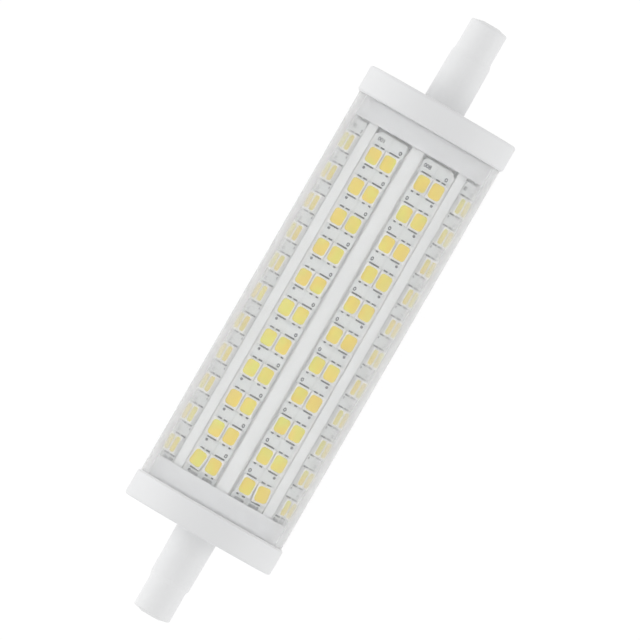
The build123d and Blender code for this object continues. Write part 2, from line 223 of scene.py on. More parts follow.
# %% [markdown]
# In the photograph the caps are a little brighter towards their long edges than in the middle, and the left
# side is brighter than the right. Two large soft lamps stand low on both sides, the left one stronger. Glossy
# rays don't see them, because their hard outlines would show as bright bars along the tube.

# %% Lamps
LAMP_DISTANCE = 0.9
LAMP_WIDTH = 0.7
LAMP_HEIGHT = 0.5


def add_lamp(name, direction, power):
    """Add a soft rectangular lamp that looks at the middle of the object and has no mirror image."""
    data = bpy.data.lights.new(name, "AREA")
    data.shape = "RECTANGLE"
    data.size = LAMP_WIDTH
    data.size_y = LAMP_HEIGHT
    data.energy = power
    lamp = bpy.data.objects.new(name, data)
    place = Vector(direction).normalized() * LAMP_DISTANCE
    lamp.location = place
    lamp.rotation_euler = place.to_track_quat("Z", "Y").to_euler()
    lamp.visible_glossy = False
    lamp.visible_transmission = False
    bpy.context.scene.collection.objects.link(lamp)


add_lamp("left_lamp", (-0.1, 1.0, 0.27), 2.7)
add_lamp("right_lamp", (-0.1, -1.0, 0.27), 1.9)

# %% [markdown]
# ## Shared effects as node groups
# No real surface has one flat colour. The group `Fine Mottle` holds what almost all of them share: a soft
# change of tone over a few millimetres, a fine grain, a roughness that varies with both, and a height for the
# bump. Each material places the group with its own colours and grain size.

# %% A helper that starts a node group
def new_group(name, inputs, outputs):
    """Start a shader node group, and return its tree, its input values and its output sockets."""
    tree = bpy.data.node_groups.new(name, "ShaderNodeTree")
    for label, kind, value in inputs:
        socket = tree.interface.new_socket(name=label, in_out="INPUT", socket_type="NodeSocket" + kind)
        if value is not None:
            socket.default_value = value
    for label, kind in outputs:
        tree.interface.new_socket(name=label, in_out="OUTPUT", socket_type="NodeSocket" + kind)
    start = tree.nodes.new("NodeGroupInput")
    end = tree.nodes.new("NodeGroupOutput")
    return tree, start.outputs, end.inputs


def add_noise(tree, vector, scale, detail=2.0):
    """Add a noise texture and return its grey value."""
    noise = tree.nodes.new("ShaderNodeTexNoise")
    tree.links.new(vector, noise.inputs["Vector"])
    link_or_set(tree, noise.inputs["Scale"], scale)
    noise.inputs["Detail"].default_value = detail
    return noise.outputs["Fac"]


print("group helpers ready")

# %% Fine Mottle
mottle_group, given, result = new_group(
    "Fine Mottle",
    [
        ("Vector", "Vector", None),
        ("Light Color", "Color", (0.8, 0.8, 0.8, 1)),
        ("Dark Color", "Color", (0.7, 0.7, 0.7, 1)),
        ("Patch Scale", "Float", 250.0),
        ("Grain Scale", "Float", 4000.0),
        ("Roughness", "Float", 0.5),
        ("Roughness Spread", "Float", 0.1),
    ],
    [("Color", "Color"), ("Roughness", "Float"), ("Height", "Float")],
)
patches = add_noise(mottle_group, given["Vector"], given["Patch Scale"], 3.0)
grain = add_noise(mottle_group, given["Vector"], given["Grain Scale"])
tone = add_math(mottle_group, "MULTIPLY_ADD", add_math(mottle_group, "SUBTRACT", grain, 0.5), 0.4, patches)
toned = add_mix(mottle_group, tone, given["Light Color"], given["Dark Color"])
mottle_group.links.new(toned, result["Color"])
centred = add_math(mottle_group, "SUBTRACT", tone, 0.5)
rough = add_math(mottle_group, "MULTIPLY_ADD", centred, given["Roughness Spread"], given["Roughness"])
mottle_group.links.new(rough, result["Roughness"])
mottle_group.links.new(grain, result["Height"])
print("group:", mottle_group.name, "nodes:", len(mottle_group.nodes))

# %% [markdown]
# ## A base for every finish
# `mottled` makes a material whose colour, roughness and bump come from `Fine Mottle`. It returns the material
# with its shader, so that a finish with something special, such as clear plastic or print, can go on from it.

# %% The base of every finish
def rgba(colour):
    return (*colour, 1)


def mottled(name, light, dark, rough, spread=0.1, patch=250.0, grain=4000.0, bump=0.01, metal=0.0, coat=0.0):
    """Make a material from Fine Mottle. The bump is the grain's height in millimetres."""
    material = bpy.data.materials.new(name)
    material.use_nodes = True
    tree = material.node_tree
    shader = tree.nodes["Principled BSDF"]
    place = tree.nodes.new("ShaderNodeTexCoord")
    group = tree.nodes.new("ShaderNodeGroup")
    group.node_tree = mottle_group
    group.name = "mottle"
    tree.links.new(place.outputs["Object"], group.inputs["Vector"])
    values = (rgba(light), rgba(dark), patch, grain, rough, spread)
    for socket, value in zip(list(group.inputs)[1:], values):
        socket.default_value = value
    tree.links.new(group.outputs["Color"], shader.inputs["Base Color"])
    tree.links.new(group.outputs["Roughness"], shader.inputs["Roughness"])
    relief = tree.nodes.new("ShaderNodeBump")
    relief.name = "relief"
    relief.inputs["Distance"].default_value = bump * MM
    tree.links.new(group.outputs["Height"], relief.inputs["Height"])
    tree.links.new(relief.outputs["Normal"], shader.inputs["Normal"])
    shader.inputs["Metallic"].default_value = metal
    shader.inputs["Coat Weight"].default_value = coat
    return material, shader


print("helpers ready: rgba, mottled")

# %% [markdown]
# Many finishes need nothing more. Each row below gives a light and a dark colour, the roughness and its spread,
# the scales of the patches and the grain, the bump, and for a metal how much of a metal it is. White plastic
# also lets light in a little way and out again, so the carrier and the LED cases scatter it half a millimetre
# deep.

# %% Plain finishes and metals
SCATTER_DEPTH = 0.5 * MM
finishes = {}
plain_finishes = {
    "cap_white": ((0.763, 0.767, 0.773), (0.74, 0.744, 0.75), 0.42, 0.06, 120.0, 2600.0, 0.006),
    "carrier_white": ((0.855, 0.863, 0.86), (0.83, 0.838, 0.833), 0.5, 0.08, 160.0, 3000.0, 0.006),
    "case_white": ((0.94, 0.935, 0.92), (0.91, 0.905, 0.885), 0.5, 0.1, 900.0, 9000.0, 0.004),
    "driver_green": ((0.04, 0.22, 0.09), (0.03, 0.17, 0.07), 0.35, 0.1, 200.0, 3500.0, 0.01),
    "part_black": ((0.03, 0.03, 0.032), (0.02, 0.02, 0.022), 0.55, 0.15, 400.0, 8000.0, 0.02),
    "ferrite_grey": ((0.10, 0.10, 0.105), (0.06, 0.06, 0.065), 0.6, 0.15, 300.0, 5000.0, 0.03),
    "can_sleeve": ((0.03, 0.04, 0.09), (0.02, 0.03, 0.07), 0.3, 0.1, 150.0, 3000.0, 0.008),
    "varistor_blue": ((0.03, 0.12, 0.42), (0.02, 0.09, 0.34), 0.35, 0.15, 350.0, 4000.0, 0.02),
    "film_yellow": ((0.75, 0.52, 0.06), (0.68, 0.46, 0.05), 0.32, 0.08, 150.0, 3000.0, 0.008),
    "resistor_grey": ((0.22, 0.27, 0.28), (0.17, 0.21, 0.22), 0.45, 0.12, 400.0, 6000.0, 0.02),
    "wire_cover": ((0.74, 0.73, 0.70), (0.68, 0.67, 0.64), 0.55, 0.1, 250.0, 3500.0, 0.01),
    "filler_white": ((0.82, 0.82, 0.81), (0.78, 0.78, 0.77), 0.45, 0.1, 600.0, 6000.0, 0.02),
}
for slot, values in plain_finishes.items():
    finishes[slot], shader = mottled(slot + "_finish", *values)
    if slot in ("carrier_white", "case_white"):
        shader.inputs["Subsurface Weight"].default_value = 1
        shader.inputs["Subsurface Radius"].default_value = (1, 1, 1)
        shader.inputs["Subsurface Scale"].default_value = SCATTER_DEPTH
metal_finishes = {
    "contact_metal": ((0.72, 0.70, 0.66), (0.60, 0.58, 0.55), 0.28, 0.2, 500.0, 9000.0, 0.01, 1.0),
    # The solder's dark grey is partly painted shade: the shade at the short ends of each package.
    "solder_grey": ((0.27, 0.275, 0.29), (0.11, 0.115, 0.125), 0.38, 0.25, 1500.0, 9000.0, 0.02, 1.0),
    "pad_tin": ((0.66, 0.67, 0.68), (0.24, 0.245, 0.25), 0.4, 0.25, 2200.0, 9000.0, 0.03, 0.6),
}
for slot, values in metal_finishes.items():
    finishes[slot] = mottled(slot + "_finish", *values)[0]
print("finishes so far:", sorted(finishes))

# %% [markdown]
# In the photograph the pins look a little lighter than the rest of the caps, though both are one moulding. The
# same material serves the whole cap: a mask from the place along the lamp adds some white beyond the flanges.
# That white is painted light, not a different plastic: it stands in for light that the flanges keep off the
# pins.

# %% Painted light on the pins
PIN_START = 42.75 * MM
PIN_PAINTED_LIGHT = 0.17
tree = finishes["cap_white"].node_tree
parts = tree.nodes.new("ShaderNodeSeparateXYZ")
tree.links.new(tree.nodes["Texture Coordinate"].outputs["Object"], parts.inputs[0])
on_pin = add_math(tree, "GREATER_THAN", add_math(tree, "ABSOLUTE", parts.outputs["X"]), PIN_START)
# Painted light on the pins: a share of white mixed into the cap's colour beyond the flanges.
share = add_math(tree, "MULTIPLY", on_pin, PIN_PAINTED_LIGHT)
pin_painted_light = add_mix(tree, share, tree.nodes["mottle"].outputs["Color"], (1, 1, 1, 1))
tree.links.new(pin_painted_light, tree.nodes["Principled BSDF"].inputs["Base Color"])
print("pins start at mm:", PIN_START / MM)

# %% [markdown]
# ## Copper windings
# Each inductor's winding is modelled as one ring. Real turns lie side by side, so its material adds a wave
# along Z, one crest for each turn of wire 0.35 mm thick, to the height that the bump reads.

# %% Winding copper
WIRE_THICKNESS = 0.35 * MM
DRUM_HEIGHT = 8 * MM
DRUM_RIM = 1.2 * MM
finishes["winding_copper"] = mottled(
    "winding_copper_finish", (0.62, 0.24, 0.09), (0.45, 0.15, 0.05), 0.28, 0.1, 300.0, 4000.0, 0.05, 0.8
)[0]
tree = finishes["winding_copper"].node_tree
place = tree.nodes["Texture Coordinate"].outputs["Object"]
parts = tree.nodes.new("ShaderNodeSeparateXYZ")
tree.links.new(place, parts.inputs[0])
turns = add_math(tree, "MULTIPLY", parts.outputs["Z"], 2 * math.pi / WIRE_THICKNESS)
crest = add_math(tree, "ABSOLUTE", add_math(tree, "SINE", add_math(tree, "MULTIPLY", turns, 0.5)))
tree.links.new(crest, tree.nodes["relief"].inputs["Height"])
print("turns on the larger inductor:", round((DRUM_HEIGHT - 2 * DRUM_RIM) / WIRE_THICKNESS))

# %% [markdown]
# ## The white boards
# The boards are aluminium or glass fibre under a white solder mask. Two things show on them: printed rings
# and dots beside each LED, and a faint relief where copper lies under the mask. All eight boards carry the
# same pattern, so it isn't drawn eight times. `Facet Place` folds the space round the lamp's axis: from the
# angle it finds the board that a point belongs to, and gives the point's place along and across that board.
# Every second board has its print mirrored, so the group also gives the side, plus or minus 1.

# %% Facet Place
facet_group, given, result = new_group(
    "Facet Place",
    [("Vector", "Vector", None)],
    [("Along", "Float"), ("Across", "Float"), ("Side", "Float")],
)
parts = facet_group.nodes.new("ShaderNodeSeparateXYZ")
facet_group.links.new(given["Vector"], parts.inputs[0])
x, y, z = parts.outputs
angle = add_math(facet_group, "ARCTAN2", y, z)
sector = add_math(facet_group, "FLOOR", add_math(facet_group, "DIVIDE", angle, TURN_STEP))
middle = add_math(facet_group, "MULTIPLY", add_math(facet_group, "ADD", sector, 0.5), TURN_STEP)
inside = add_math(facet_group, "SINE", add_math(facet_group, "SUBTRACT", angle, middle))
reach_y = add_math(facet_group, "MULTIPLY", y, y)
reach = add_math(facet_group, "SQRT", add_math(facet_group, "MULTIPLY_ADD", z, z, reach_y))
parity = add_math(facet_group, "FLOORED_MODULO", sector, 2.0)
facet_group.links.new(x, result["Along"])
facet_group.links.new(add_math(facet_group, "MULTIPLY", reach, inside), result["Across"])
facet_group.links.new(add_math(facet_group, "MULTIPLY_ADD", parity, -2.0, 1.0), result["Side"])
print("group:", facet_group.name)

# %% [markdown]
# `Board Print` draws on top of it. `Wrap` math repeats the place along the board at each row of LEDs, so one
# ring and one dot become eleven. A ring is where the distance to its centre is close to its radius, and it is
# squeezed a little across the board, as a printed 0 is. Above the first row the ring is always on the right,
# because the board's number is on the left, and there is no dot. The copper is two long pads that run the
# whole board with a narrow gap between them and a break at each row.

# %% Board Print
print_group, given, result = new_group(
    "Board Print",
    [("Vector", "Vector", None), ("Ring Radius", "Float", 0.26 * MM), ("Line Width", "Float", 0.12 * MM)],
    [("Ink", "Float"), ("Copper", "Float")],
)
folded = print_group.nodes.new("ShaderNodeGroup")
folded.node_tree = facet_group
print_group.links.new(given["Vector"], folded.inputs["Vector"])
from_row = add_math(print_group, "SUBTRACT", folded.outputs["Along"], FIRST_ROW)
row_place = add_math(print_group, "WRAP", from_row, ROW_PITCH / 2, -ROW_PITCH / 2)
above_first = add_math(print_group, "GREATER_THAN", from_row, 0.0)
other_side = add_math(print_group, "SUBTRACT", 1.0, folded.outputs["Side"])
print_side = add_math(print_group, "MULTIPLY_ADD", above_first, other_side, folded.outputs["Side"])
across = add_math(print_group, "MULTIPLY", folded.outputs["Across"], print_side)


def distance_to(tree, along, over, squeeze):
    """Distance on the board to a mark at this place beside each row of LEDs."""
    first = add_math(tree, "SUBTRACT", row_place, along)
    second = add_math(tree, "MULTIPLY", add_math(tree, "SUBTRACT", across, over), squeeze)
    squares = add_math(tree, "MULTIPLY_ADD", second, second, add_math(tree, "MULTIPLY", first, first))
    return add_math(tree, "SQRT", squares)


RING_PLACE = (2.66 * MM, -2.3 * MM, 1.25)
DOT_PLACE = (-2.5 * MM, 2.3 * MM, 1.0)
COPPER_GAP = 0.15 * MM
ROW_BREAK = 0.2 * MM
ring_edge = add_math(print_group, "SUBTRACT", distance_to(print_group, *RING_PLACE), given["Ring Radius"])
ring = add_math(print_group, "LESS_THAN", add_math(print_group, "ABSOLUTE", ring_edge), given["Line Width"])
near_dot = add_math(print_group, "LESS_THAN", distance_to(print_group, *DOT_PLACE), given["Ring Radius"])
dot = add_math(print_group, "MULTIPLY", near_dot, add_math(print_group, "SUBTRACT", 1.0, above_first))
print_group.links.new(add_math(print_group, "MAXIMUM", ring, dot), result["Ink"])
from_middle = add_math(print_group, "ABSOLUTE", across)
gap = add_math(print_group, "GREATER_THAN", from_middle, COPPER_GAP)
edge = add_math(print_group, "LESS_THAN", from_middle, BOARD_WIDTH / 2 - COPPER_GAP)
pads = add_math(print_group, "MULTIPLY", gap, edge)
off_break = add_math(print_group, "GREATER_THAN", add_math(print_group, "ABSOLUTE", row_place), ROW_BREAK)
print_group.links.new(add_math(print_group, "MULTIPLY", pads, off_break), result["Copper"])
print("group:", print_group.name, "nodes:", len(print_group.nodes))

# %% [markdown]
# The board's material lays the print over the mottled white. Ink is dark grey and duller than the mask. Where
# copper lies below, the mask stands a hundredth of a millimetre higher and looks slightly lighter.

# %% Board white
INK_GREY = (0.13, 0.135, 0.145, 1)
BARE_SHADE = (0.70, 0.717, 0.712, 1)
COPPER_STEP = 3.0
finishes["board_white"], board_shader = mottled(
    "board_white_finish", (0.765, 0.782, 0.775), (0.725, 0.742, 0.74), 0.38, 0.08, 220.0, 4000.0, 0.008
)
tree = finishes["board_white"].node_tree
mottle = tree.nodes["mottle"]
printed = tree.nodes.new("ShaderNodeGroup")
printed.node_tree = print_group
tree.links.new(tree.nodes["Texture Coordinate"].outputs["Object"], printed.inputs["Vector"])
over_copper = add_mix(tree, printed.outputs["Copper"], BARE_SHADE, mottle.outputs["Color"])
inked = add_mix(tree, printed.outputs["Ink"], over_copper, INK_GREY)
tree.links.new(inked, board_shader.inputs["Base Color"])
height = add_math(tree, "MULTIPLY_ADD", printed.outputs["Copper"], COPPER_STEP, mottle.outputs["Height"])
tree.links.new(height, tree.nodes["relief"].inputs["Height"])
print("board finish reads", printed.node_tree.name)

# %% [markdown]
# ## Phosphor
# The yellow of an LED that is off is silicone filled with phosphor powder. It isn't one yellow: where the
# filling is thick it leans to orange, and near its edge to a greener yellow. A second noise mixes the two,
# and the silicone skin is glossy, which the coat gives: seen from the side, it takes the white of the room.

# %% Phosphor yellow
finishes["phosphor_yellow"], phosphor_shader = mottled(
    "phosphor_yellow_finish", (0.92, 0.73, 0.06), (0.89, 0.63, 0.045), 0.42, 0.1, 420.0, 12000.0, 0.006,
    coat=1.0,
)
phosphor_shader.inputs["Coat Roughness"].default_value = 0.2
GREENER = (0.81, 0.77, 0.08, 1)
SPOT_SCALE = 260.0
SPOT_START = 0.4
SPOT_STEEPNESS = 3.5
tree = finishes["phosphor_yellow"].node_tree
spots = add_noise(tree, tree.nodes["Texture Coordinate"].outputs["Object"], SPOT_SCALE)
leaning = add_math(tree, "MULTIPLY", add_math(tree, "SUBTRACT", spots, SPOT_START), SPOT_STEEPNESS)
mixed_yellow = add_mix(tree, leaning, tree.nodes["mottle"].outputs["Color"], GREENER)
tree.links.new(mixed_yellow, phosphor_shader.inputs["Base Color"])
print("phosphor finish ready")

# %% [markdown]
# ## Clear plastic
# The tube is clear polycarbonate with a smooth skin. Its shader bends light as the real tube does, and the
# plastic itself takes a little light: a ray that runs inside the wall, near the long edges, comes out greyer.
# The skin also has a faint white haze, which a sheen gives: it hardly shows where one looks straight through
# the tube, and washes out what lies behind its long edges. Lamps would be blocked by the tube, because a bent
# ray seldom hits a lamp, so rays that ask whether a lamp is visible pass straight through, and a share of the
# light is let through at each wall. Fine noise gives the faint unevenness of extruded plastic, drawn out along
# the tube.

# %% Clear tube
LAMP_SHARE = 0.6
finishes["clear_tube"], tube_shader = mottled(
    "clear_tube_finish", (0.995, 0.997, 1.0), (0.98, 0.982, 0.985), 0.12, 0.03, 60.0, 300.0, 0.01
)
tube_shader.inputs["Transmission Weight"].default_value = 0.99
tube_shader.inputs["IOR"].default_value = 1.5
tube_shader.inputs["Sheen Weight"].default_value = 1
tube_shader.inputs["Sheen Roughness"].default_value = 0.55
tree = finishes["clear_tube"].node_tree
grey_plastic = tree.nodes.new("ShaderNodeVolumeAbsorption")
grey_plastic.inputs["Color"].default_value = (0.9, 0.9, 0.9, 1)
grey_plastic.inputs["Density"].default_value = 1000
tree.links.new(grey_plastic.outputs[0], tree.nodes["Material Output"].inputs["Volume"])
stretch = tree.nodes.new("ShaderNodeMapping")
stretch.inputs["Scale"].default_value = (0.1, 1, 1)
tree.links.new(tree.nodes["Texture Coordinate"].outputs["Object"], stretch.inputs["Vector"])
tree.links.new(stretch.outputs["Vector"], tree.nodes["mottle"].inputs["Vector"])
passing = tree.nodes.new("ShaderNodeBsdfTransparent")
passing.inputs["Color"].default_value = (LAMP_SHARE, LAMP_SHARE, LAMP_SHARE, 1)
chosen = tree.nodes.new("ShaderNodeMixShader")
tree.links.new(tree.nodes.new("ShaderNodeLightPath").outputs["Is Shadow Ray"], chosen.inputs[0])
tree.links.new(tube_shader.outputs[0], chosen.inputs[1])
tree.links.new(passing.outputs[0], chosen.inputs[2])
tree.links.new(chosen.outputs[0], tree.nodes["Material Output"].inputs["Surface"])

# %% [markdown]
# ## Finishes onto the CAD pieces
# The record says which finish each CAD piece takes. The piece's own mesh stays as it is, and only the material
# in its slot changes.

# %% Give each CAD piece its finish
for subpart in frame["record"]["subparts"]:
    for slot in nodes[subpart["node"]].material_slots:
        slot.material = finishes[subpart["material_slot"]]

# %% [markdown]
# ## Modelling helpers
# The new pieces are made as by hand: a primitive, then edit-mode steps on chosen faces and edges. `choose`
# selects them in code, by where they are and which way they face, in place of a click with the mouse.

# %% Helpers for modelling
def start_cube(size, centre):
    """Add a cube of this size at this place, alone in the selection, and open it in edit mode."""
    bpy.ops.object.select_all(action="DESELECT")
    bpy.ops.mesh.primitive_cube_add(size=1, location=centre)
    cube = bpy.context.object
    cube.scale = size
    bpy.ops.object.transform_apply(location=True, rotation=True, scale=True)
    bpy.ops.object.mode_set(mode="EDIT")
    return cube


def choose(kind, test):
    """Select the faces or edges in edit mode that pass the test, and return how many."""
    bpy.ops.mesh.select_mode(type=kind)
    bpy.ops.mesh.select_all(action="DESELECT")
    mesh = bmesh.from_edit_mesh(bpy.context.object.data)
    chosen_ones = [part for part in (mesh.faces if kind == "FACE" else mesh.edges) if test(part)]
    for part in chosen_ones:
        part.select_set(True)
    mesh.select_flush_mode()
    bmesh.update_edit_mesh(bpy.context.object.data)
    return len(chosen_ones)


def faces_up(face):
    """True for a face that looks along +Z."""
    return face.normal.z > 0.9


def upright(edge, inside_x, inside_y):
    """True for an edge along Z that lies within this distance of the middle on both sides."""
    first, second = (vertex.co for vertex in edge.verts)
    along_z = abs(first.z - second.z) > 0.9 * (first - second).length
    return along_z and abs(first.x) < inside_x and abs(first.y) < inside_y


print("modelling helpers ready")

# %% [markdown]
# ## One LED package
# A mid-power LED is a white moulded case with a window in its top. The window has round corners and the case
# has fine chamfers. It is made a hair wider than the drawing has it, so that the gap between two of them comes
# out as narrow and pale as in the photograph. It is a cube at first. The top face is inset by the width of the
# side walls, scaled shorter because the end walls are thicker, and extruded down to make the window. Then the
# four upright edges inside are bevelled to round the corners, and the outer edges get their chamfers last.

# %% Model one LED case
CASE_WIDTH = 2.95 * MM
CORNER_RADIUS = 0.6 * MM
CORNER_CHAMFER = 0.08 * MM
RIM_CHAMFER = 0.04 * MM
side_wall = (CASE_WIDTH - WINDOW_WIDTH) / 2
shorter = WINDOW_LENGTH / (LED_LENGTH - 2 * side_wall)
case = start_cube((LED_LENGTH, CASE_WIDTH, LED_HEIGHT), (0, 0, LED_HEIGHT / 2))
choose("FACE", faces_up)
bpy.ops.mesh.inset(thickness=side_wall)
bpy.ops.transform.resize(value=(shorter, 1, 1), center_override=(0, 0, LED_HEIGHT))
bpy.ops.mesh.extrude_region_move(TRANSFORM_OT_translate={"value": (0, 0, -WINDOW_DEPTH)})
inner_x, inner_y = (LED_LENGTH + WINDOW_LENGTH) / 4, (CASE_WIDTH + WINDOW_WIDTH) / 4
choose("EDGE", lambda edge: upright(edge, inner_x, inner_y))
bpy.ops.mesh.bevel(offset=CORNER_RADIUS, segments=4, affect="EDGES")
choose("EDGE", lambda edge: upright(edge, 1, 1) and not upright(edge, inner_x, inner_y))
bpy.ops.mesh.bevel(offset=CORNER_CHAMFER, segments=1, affect="EDGES")
choose("EDGE", lambda edge: all(
    vertex.co.z > LED_HEIGHT * 0.99 and (abs(vertex.co.x) > inner_x or abs(vertex.co.y) > inner_y)
    for vertex in edge.verts
) and len([face for face in edge.link_faces if face.normal.z < 0.5]) == 1)
bpy.ops.mesh.bevel(offset=RIM_CHAMFER, segments=1, affect="EDGES")
bpy.ops.object.mode_set(mode="OBJECT")
case.name = "case_pattern"
print("faces in one case:", len(case.data.polygons))

# %% [markdown]
# The phosphor fills the window to just below the rim. Its surface sinks slightly towards the middle, as
# silicone does when it cures. It is a flat block with the same round corners, whose top is inset twice, each
# ring a little lower.

# %% Model one phosphor filling
FILL_GAP = 0.01 * MM
FILL_DROP = 0.04 * MM
FILL_RINGS = ((0.18 * MM, 0.03 * MM), (0.35 * MM, 0.02 * MM))
SMOOTH_ANGLE = math.radians(40)
fill_length = WINDOW_LENGTH - 2 * FILL_GAP
fill_width = WINDOW_WIDTH - 2 * FILL_GAP
fill_low = LED_HEIGHT - WINDOW_DEPTH + FILL_GAP
fill_high = LED_HEIGHT - FILL_DROP
fill = start_cube((fill_length, fill_width, fill_high - fill_low), (0, 0, (fill_low + fill_high) / 2))
choose("EDGE", lambda edge: upright(edge, 1, 1))
bpy.ops.mesh.bevel(offset=CORNER_RADIUS, segments=4, affect="EDGES")
choose("FACE", faces_up)
for ring_width, sink in FILL_RINGS:
    bpy.ops.mesh.inset(thickness=ring_width)
    bpy.ops.transform.translate(value=(0, 0, -sink))
bpy.ops.object.mode_set(mode="OBJECT")
bpy.ops.object.shade_smooth_by_angle(angle=SMOOTH_ANGLE)
fill.name = "fill_pattern"
print("faces in one filling:", len(fill.data.polygons))

# %% [markdown]
# ## Solder beside each pair of LEDs
# Beyond the short ends of a package its leads sit in solder, which shows as dark dashes. The dashes are partly
# solder and partly the shade beside the package's ends, and the solder's dark grey paints that shade in.
# Towards end a the package nearer to the middle rib has one long dash and its neighbour two short ones, and at
# the other end it is the other way round. A dash is a low bar with its outer top edge bevelled into a slope.
# Two boards side by side mirror each other, so the bars are placed once for each side, 1 or -1.

# %% Model the solder of one row
SOLDER_REACH = 0.28 * MM
SOLDER_HEIGHT = 0.2 * MM
SOLDER_SLOPE = 0.15 * MM
SOLDER_PLACES = (
    (1, -1.48 * MM, 1.95 * MM),
    (1, 0.98 * MM, 0.7 * MM),
    (1, 2.17 * MM, 0.75 * MM),
    (-1, 1.58 * MM, 1.75 * MM),
    (-1, -0.95 * MM, 0.5 * MM),
    (-1, -2.2 * MM, 0.4 * MM),
)


def solder_bar(end, middle_y, width):
    """A sloped bar of solder at one end of a package."""
    centre_x = end * (LED_LENGTH / 2 + SOLDER_REACH / 2)
    bar = start_cube((SOLDER_REACH, width, SOLDER_HEIGHT), (centre_x, middle_y, SOLDER_HEIGHT / 2))
    outer = LED_LENGTH / 2 + SOLDER_REACH * 0.9
    choose("EDGE", lambda edge: all(
        end * vertex.co.x > outer and vertex.co.z > SOLDER_HEIGHT / 2 for vertex in edge.verts
    ))
    bpy.ops.mesh.bevel(offset=SOLDER_SLOPE, segments=3, affect="EDGES")
    bpy.ops.object.mode_set(mode="OBJECT")
    return bar


def join_smooth(pieces, name):
    """Join pieces into one and shade it smooth except at its corners."""
    bpy.ops.object.select_all(action="DESELECT")
    for piece in pieces:
        piece.select_set(True)
    bpy.context.view_layer.objects.active = pieces[0]
    bpy.ops.object.join()
    bpy.ops.object.shade_smooth_by_angle(angle=SMOOTH_ANGLE)
    pieces[0].name = name
    return pieces[0]


solder = {}
for side in (1, -1):
    bars = [solder_bar(end, side * middle_y, width) for end, middle_y, width in SOLDER_PLACES]
    solder[side] = join_smooth(bars, "solder_pattern")
print("faces in the solder of one row:", len(solder[1].data.polygons))

# %% [markdown]
# ## From one LED to a board, and from one board to eight
# Two Array modifiers repeat a package: two across the board and eleven along it. The solder, which is one row
# wide already, only needs the second. They are applied, and the strip is later copied to each of the eight
# boards, with a mesh of its own.

# %% Repeat along and across one board
def repeat(pattern, *steps):
    """Repeat a piece by a count and a step for each direction, and apply the modifiers."""
    bpy.ops.object.select_all(action="DESELECT")
    pattern.select_set(True)
    bpy.context.view_layer.objects.active = pattern
    for number, (count, step) in enumerate(steps):
        array = pattern.modifiers.new(f"repeat_{number}", "ARRAY")
        array.count = count
        array.use_relative_offset = False
        array.use_constant_offset = True
        array.constant_offset_displace = step
        bpy.ops.object.modifier_apply(modifier=array.name)


all_rows = (ROW_COUNT, (-ROW_PITCH, 0, 0))
for pattern in (case, fill):
    repeat(pattern, (2, (0, COLUMN_PITCH, 0)), all_rows)
    pattern.data.transform(Matrix.Translation((FIRST_ROW, -COLUMN_PITCH / 2, 0)))
for pattern in solder.values():
    repeat(pattern, all_rows)
    pattern.data.transform(Matrix.Translation((FIRST_ROW, 0, 0)))
print("polygons on one board:", sum(len(o.data.polygons) for o in (case, fill, solder[1])))

# %% [markdown]
# At the end of each board towards end b, two tinned pads show below the last row. Solder has been wiped over
# them by hand, so they are low and lumpy. A pad is a flat block with round corners, subdivided, whose top is
# pushed up and down a little by a Displace modifier with a clouds texture.

# %% Make a surface uneven
def make_uneven(piece, name, patch, height):
    """Push a mesh up and down by clouds of this patch size, and apply the modifier."""
    clouds = bpy.data.textures.get(name) or bpy.data.textures.new(name, "CLOUDS")
    clouds.noise_scale = patch
    wave = piece.modifiers.new(name, "DISPLACE")
    wave.texture = clouds
    wave.direction = "Z"
    wave.strength = height
    bpy.ops.object.modifier_apply(modifier=wave.name)


print("helper ready: make_uneven")

# %% Model the end pads of a board
PAD_SIZE = (1.3 * MM, 1.9 * MM, 0.12 * MM)
PAD_PLACES = ((-34.05 * MM, -1.55 * MM), (-34.15 * MM, 1.4 * MM))
PAD_CORNER = 0.3 * MM
PAD_SLOPE = 0.12 * MM
PAD_RISE = 0.06 * MM
LUMP_SIZE = 0.5 * MM
LUMP_HEIGHT = 0.12 * MM
pads = []
for centre_x, centre_y in PAD_PLACES:
    pad = start_cube(PAD_SIZE, (centre_x, centre_y, PAD_SIZE[2] / 2))
    choose("EDGE", lambda edge: abs(edge.verts[0].co.z - edge.verts[1].co.z) > PAD_SIZE[2] / 2)
    bpy.ops.mesh.bevel(offset=PAD_CORNER, segments=3, affect="EDGES")
    choose("FACE", faces_up)
    bpy.ops.mesh.inset(thickness=PAD_SLOPE)
    bpy.ops.transform.translate(value=(0, 0, PAD_RISE))
    bpy.ops.mesh.poke()
    bpy.ops.mesh.subdivide(number_cuts=3)
    bpy.ops.object.mode_set(mode="OBJECT")
    make_uneven(pad, "lumps", LUMP_SIZE, LUMP_HEIGHT)
    pads.append(pad)
end_pads = join_smooth(pads, "pad_pattern")
print("faces in the end pads:", len(end_pads.data.polygons))

# %% [markdown]
# The photograph shows a shallow pale channel along both long edges of each board, where there would be a deep
# dark slot if nothing filled it. What fills it can't be seen, and a soft white filler is a likely guess. Beside
# every second rib, the one in the middle among them, it lies deeper and the channel is darker. A bead is a long
# bar, cut across into short lengths, so that its top can be made as uneven as something pressed in by hand. The
# filler of one board has its deep bead on the right, and that of the next on the left, so there are two
# patterns, 1 and -1.

# %% Model the filler beside a board
SLOT_WIDTH = 0.55 * MM
BEAD_SPAN = (-36.5 * MM, 32.9 * MM)
BEAD_LOW = -0.9 * MM
BEAD_TOPS = {1: -0.18 * MM, -1: -0.42 * MM}
BEAD_ROOM = 0.02 * MM
BEAD_CUTS = 60
WAVE_SIZE = 3 * MM
WAVE_HEIGHT = 0.15 * MM


